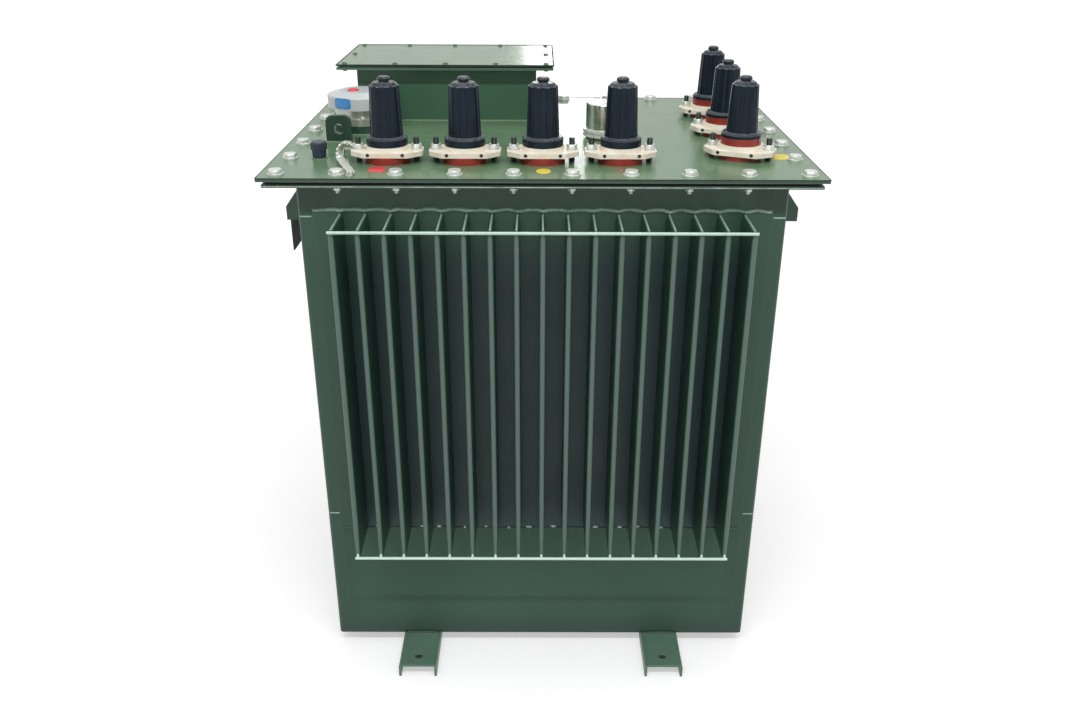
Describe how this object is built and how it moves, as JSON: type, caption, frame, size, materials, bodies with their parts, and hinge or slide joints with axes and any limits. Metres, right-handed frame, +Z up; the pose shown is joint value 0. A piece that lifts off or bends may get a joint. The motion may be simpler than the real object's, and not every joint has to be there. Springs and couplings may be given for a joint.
{
  "type": "power transformer",
  "caption": "Oil-filled power transformer: finned steel tank on channel feet, bolted lid with capped plug-in bushings, hand-hole turret, relief valve and filler.",
  "frame": {"origin": "on the floor under the middle of the tank", "axes": "+Z up, +X to the right and -Y towards the viewer who faces the low-voltage side"},
  "size_m": [1.07, 0.918, 1.281],
  "materials": {
    "tank_paint": "satin dark green paint",
    "lid_paint": "glossy dark green paint",
    "gasket": "matt",
    "epoxy": "cast resin, brick red",
    "clamp": "pale cream casting",
    "dust_cap": "blue-black moulding",
    "plug": "black moulding",
    "valve_body": "zinc plated",
    "valve_cap": "pale grey",
    "filler": "bare stainless steel",
    "strap": "tinned"
  },
  "bodies": {
    "root": {"filler_cap": "filler", "filler_neck": "filler", "front_fin_panel": "tank_paint", "front_fin_rods": "tank_paint", "front_skirt": "tank_paint", "front_upper_band": "tank_paint", "hv_bushing_clamps": "clamp", "hv_bushing_insulators": "epoxy", "hv_dust_cap_1": "dust_cap", "hv_dust_cap_2": "dust_cap", "hv_dust_cap_3": "dust_cap", "left_foot_channel": "tank_paint", "left_lid_lug": "lid_paint", "left_side_wall": "tank_paint", "left_tank_lugs": "tank_paint", "lid_gasket": "gasket", "lv_bushing_clamps": "clamp", "lv_bushing_insulators": "epoxy", "lv_dust_cap_1": "dust_cap", "lv_dust_cap_2": "dust_cap", "lv_dust_cap_3": "dust_cap", "lv_dust_cap_4": "dust_cap", "nameplate_bracket": "tank_paint", "neutral_earth_strap": "strap", "rear_fin_panel": "tank_paint", "rear_fin_rods": "tank_paint", "rear_skirt": "tank_paint", "rear_upper_band": "tank_paint", "relief_valve_base": "tank_paint", "relief_valve_body": "valve_body", "relief_valve_cap": "valve_cap", "right_foot_channel": "tank_paint", "right_lid_lug": "lid_paint", "right_side_wall": "tank_paint", "right_tank_lugs": "tank_paint", "tank_flange_long_bars": "tank_paint", "tank_flange_side_bars": "tank_paint", "tank_floor": "tank_paint", "tank_lid": "lid_paint", "thermometer_plug": "plug", "turret_gasket": "gasket", "turret_lid": "lid_paint", "turret_long_walls": "tank_paint", "turret_side_walls": "tank_paint"}
  },
  "joints": []
}
